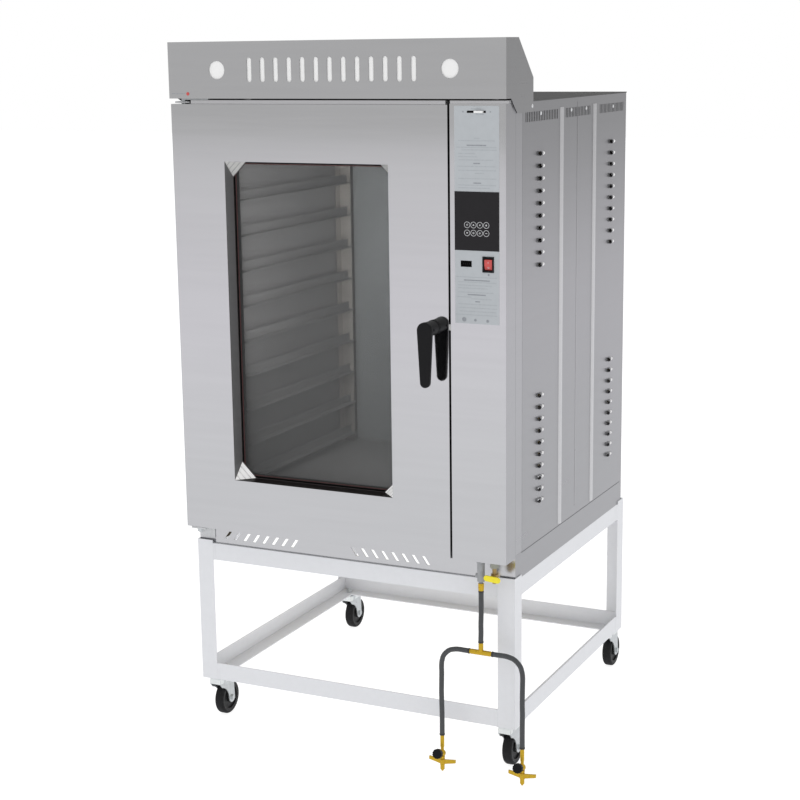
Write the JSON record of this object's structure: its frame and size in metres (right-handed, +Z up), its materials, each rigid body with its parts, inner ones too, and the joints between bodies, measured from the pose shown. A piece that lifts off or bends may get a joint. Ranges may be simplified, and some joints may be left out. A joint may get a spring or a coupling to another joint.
{
  "type": "gas convection oven",
  "caption": "Tall gas convection oven with a glazed side-hinged door, tray racks, canopy and control column, on an angle stand with swivel casters and gas hoses",
  "frame": {"origin": "on the floor under the middle of the oven, from the grip of the handle to the end of the fan motor, without the gas hoses", "axes": "+X to the right of a person facing the door, +Y from the door to the back, +Z up"},
  "size_m": [1.077, 1.175, 1.9585],
  "materials": {
    "stand_paint": "white powder coat",
    "zinc_plate": "bright zinc plate",
    "wheel_rubber": "black rubber",
    "casing_steel": "fine brushed stainless steel",
    "side_steel": "fine brushed stainless steel",
    "cover_band": "dark grey steel",
    "frame_steel": "dull steel",
    "chamber_steel": "heat stained steel",
    "rack_steel": "bright rack steel",
    "mineral_wool": "mineral wool",
    "burner_iron": "dark cast iron",
    "motor_paint": "blue grey motor paint",
    "fan_aluminium": "cast aluminium",
    "overlay_film": "grey printed film",
    "key_film": "black film with pale rings",
    "circuit_board": "green circuit board",
    "black_plastic": "black plastic",
    "rocker_red": "red plastic",
    "window_glass": "clear tempered glass",
    "gasket_rubber": "black rubber",
    "seal_silicone": "red silicone",
    "clip_steel": "bright ribbed steel",
    "hinge_steel": "dark painted steel",
    "gas_grey": "grey die cast metal",
    "gas_brass": "polished brass",
    "lever_yellow": "yellow coating",
    "hose_rubber": "dark grey rubber"
  },
  "bodies": {
    "root": {"stand_legs": "stand_paint", "stand_top_rails": "stand_paint", "stand_low_rails": "stand_paint", "caster_stems": "zinc_plate", "base_skirt": "casing_steel", "side_panel_left": "side_steel", "side_panel_right": "side_steel", "back_panel": "side_steel", "top_cover": "cover_band", "front_frame": "frame_steel", "chamber_liner": "chamber_steel", "insulation": "mineral_wool", "fan_baffle": "chamber_steel", "tray_rack_left": "rack_steel", "tray_rack_right": "rack_steel", "gas_burners": "burner_iron", "fan_motor": "motor_paint", "control_column": "casing_steel", "control_overlay": "overlay_film", "key_panel": "key_film", "control_board": "circuit_board", "switch_bezel": "black_plastic", "canopy": "casing_steel", "hinge_brackets": "hinge_steel", "hinge_pins": "zinc_plate", "latch_strike": "clip_steel", "gas_inlet": "gas_grey", "gas_tap": "gas_brass", "gas_tee": "gas_brass", "hose_inlet": "hose_rubber", "hose_left": "hose_rubber", "hose_right": "hose_rubber", "cylinder_valve_left": "gas_brass", "cylinder_valve_right": "gas_brass"},
    "door": {"door_shell": "casing_steel", "door_inner_panel": "frame_steel", "door_glass_outer": "window_glass", "door_glass_inner": "window_glass", "glass_gasket": "gasket_rubber", "glass_corner_clips": "clip_steel", "door_seal": "seal_silicone"},
    "handle": {"handle_lever": "black_plastic", "latch_tongue": "clip_steel"},
    "damper": {"damper_slider": "clip_steel"},
    "rocker": {"power_rocker": "rocker_red"},
    "tap": {"tap_lever": "lever_yellow"},
    "fan": {"fan_wheel": "fan_aluminium"},
    "caster_front_left": {"caster_fork_front_left": "zinc_plate"},
    "wheel_front_left": {"caster_wheel_front_left": "wheel_rubber"},
    "caster_front_right": {"caster_fork_front_right": "zinc_plate"},
    "wheel_front_right": {"caster_wheel_front_right": "wheel_rubber"},
    "caster_rear_left": {"caster_fork_rear_left": "zinc_plate"},
    "wheel_rear_left": {"caster_wheel_rear_left": "wheel_rubber"},
    "caster_rear_right": {"caster_fork_rear_right": "zinc_plate"},
    "wheel_rear_right": {"caster_wheel_rear_right": "wheel_rubber"},
    "knob_left": {"valve_knob_left": "black_plastic"},
    "wing_left": {"wing_nut_left": "gas_brass"},
    "knob_right": {"valve_knob_right": "black_plastic"},
    "wing_right": {"wing_nut_right": "gas_brass"}
  },
  "joints": [
    {"name": "door_swing", "type": "hinge", "parent": "root", "child": "door", "pos_m": [-0.464, -0.4975, 1.2], "axis": [0, 0, -1], "range_deg": [0, 110]},
    {"name": "handle_turn", "type": "hinge", "parent": "door", "child": "handle", "pos_m": [0.2875, -0.5275, 1.226], "axis": [0, 1, 0], "range_deg": [-12, 75]},
    {"name": "damper_slide", "type": "slide", "parent": "root", "child": "damper", "axis": [1, 0, 0], "range_m": [-0.02, 0.005]},
    {"name": "rocker_tilt", "type": "hinge", "parent": "root", "child": "rocker", "pos_m": [0.442, -0.5215, 1.3957], "axis": [-1, 0, 0], "range_deg": [0, 16]},
    {"name": "tap_turn", "type": "hinge", "parent": "root", "child": "tap", "pos_m": [0.453, -0.5275, 0.5675], "axis": [0, 1, 0], "range_deg": [-5, 85]},
    {"name": "fan_spin", "type": "hinge", "parent": "root", "child": "fan", "pos_m": [-0.0795, 0.3725, 1.1975], "axis": [0, 1, 0], "continuous": true},
    {"name": "caster_swivel_front_left", "type": "hinge", "parent": "root", "child": "caster_front_left", "pos_m": [-0.458, -0.4375, 0.12], "axis": [0, 0, 1], "continuous": true},
    {"name": "wheel_roll_front_left", "type": "hinge", "parent": "caster_front_left", "child": "wheel_front_left", "pos_m": [-0.458, -0.3995, 0.05], "axis": [1, 0, 0], "continuous": true},
    {"name": "caster_swivel_front_right", "type": "hinge", "parent": "root", "child": "caster_front_right", "pos_m": [0.458, -0.4375, 0.12], "axis": [0, 0, 1], "continuous": true},
    {"name": "wheel_roll_front_right", "type": "hinge", "parent": "caster_front_right", "child": "wheel_front_right", "pos_m": [0.458, -0.3995, 0.05], "axis": [1, 0, 0], "continuous": true},
    {"name": "caster_swivel_rear_left", "type": "hinge", "parent": "root", "child": "caster_rear_left", "pos_m": [-0.458, 0.3995, 0.12], "axis": [0, 0, 1], "continuous": true},
    {"name": "wheel_roll_rear_left", "type": "hinge", "parent": "caster_rear_left", "child": "wheel_rear_left", "pos_m": [-0.458, 0.4375, 0.05], "axis": [1, 0, 0], "continuous": true},
    {"name": "caster_swivel_rear_right", "type": "hinge", "parent": "root", "child": "caster_rear_right", "pos_m": [0.458, 0.3995, 0.12], "axis": [0, 0, 1], "continuous": true},
    {"name": "wheel_roll_rear_right", "type": "hinge", "parent": "caster_rear_right", "child": "wheel_rear_right", "pos_m": [0.458, 0.4375, 0.05], "axis": [1, 0, 0], "continuous": true},
    {"name": "knob_turn_left", "type": "hinge", "parent": "root", "child": "knob_left", "pos_m": [0.305, -0.5315, 0.055], "axis": [0, -0.9563, 0.2924], "range_deg": [0, 630]},
    {"name": "wing_turn_left", "type": "hinge", "parent": "root", "child": "wing_left", "pos_m": [0.305, -0.5315, 0.03], "axis": [0, 0, 1], "continuous": true},
    {"name": "knob_turn_right", "type": "hinge", "parent": "root", "child": "knob_right", "pos_m": [0.538, -0.5315, 0.055], "axis": [0, -0.9563, 0.2924], "range_deg": [0, 630]},
    {"name": "wing_turn_right", "type": "hinge", "parent": "root", "child": "wing_right", "pos_m": [0.538, -0.5315, 0.03], "axis": [0, 0, 1], "continuous": true}
  ]
}
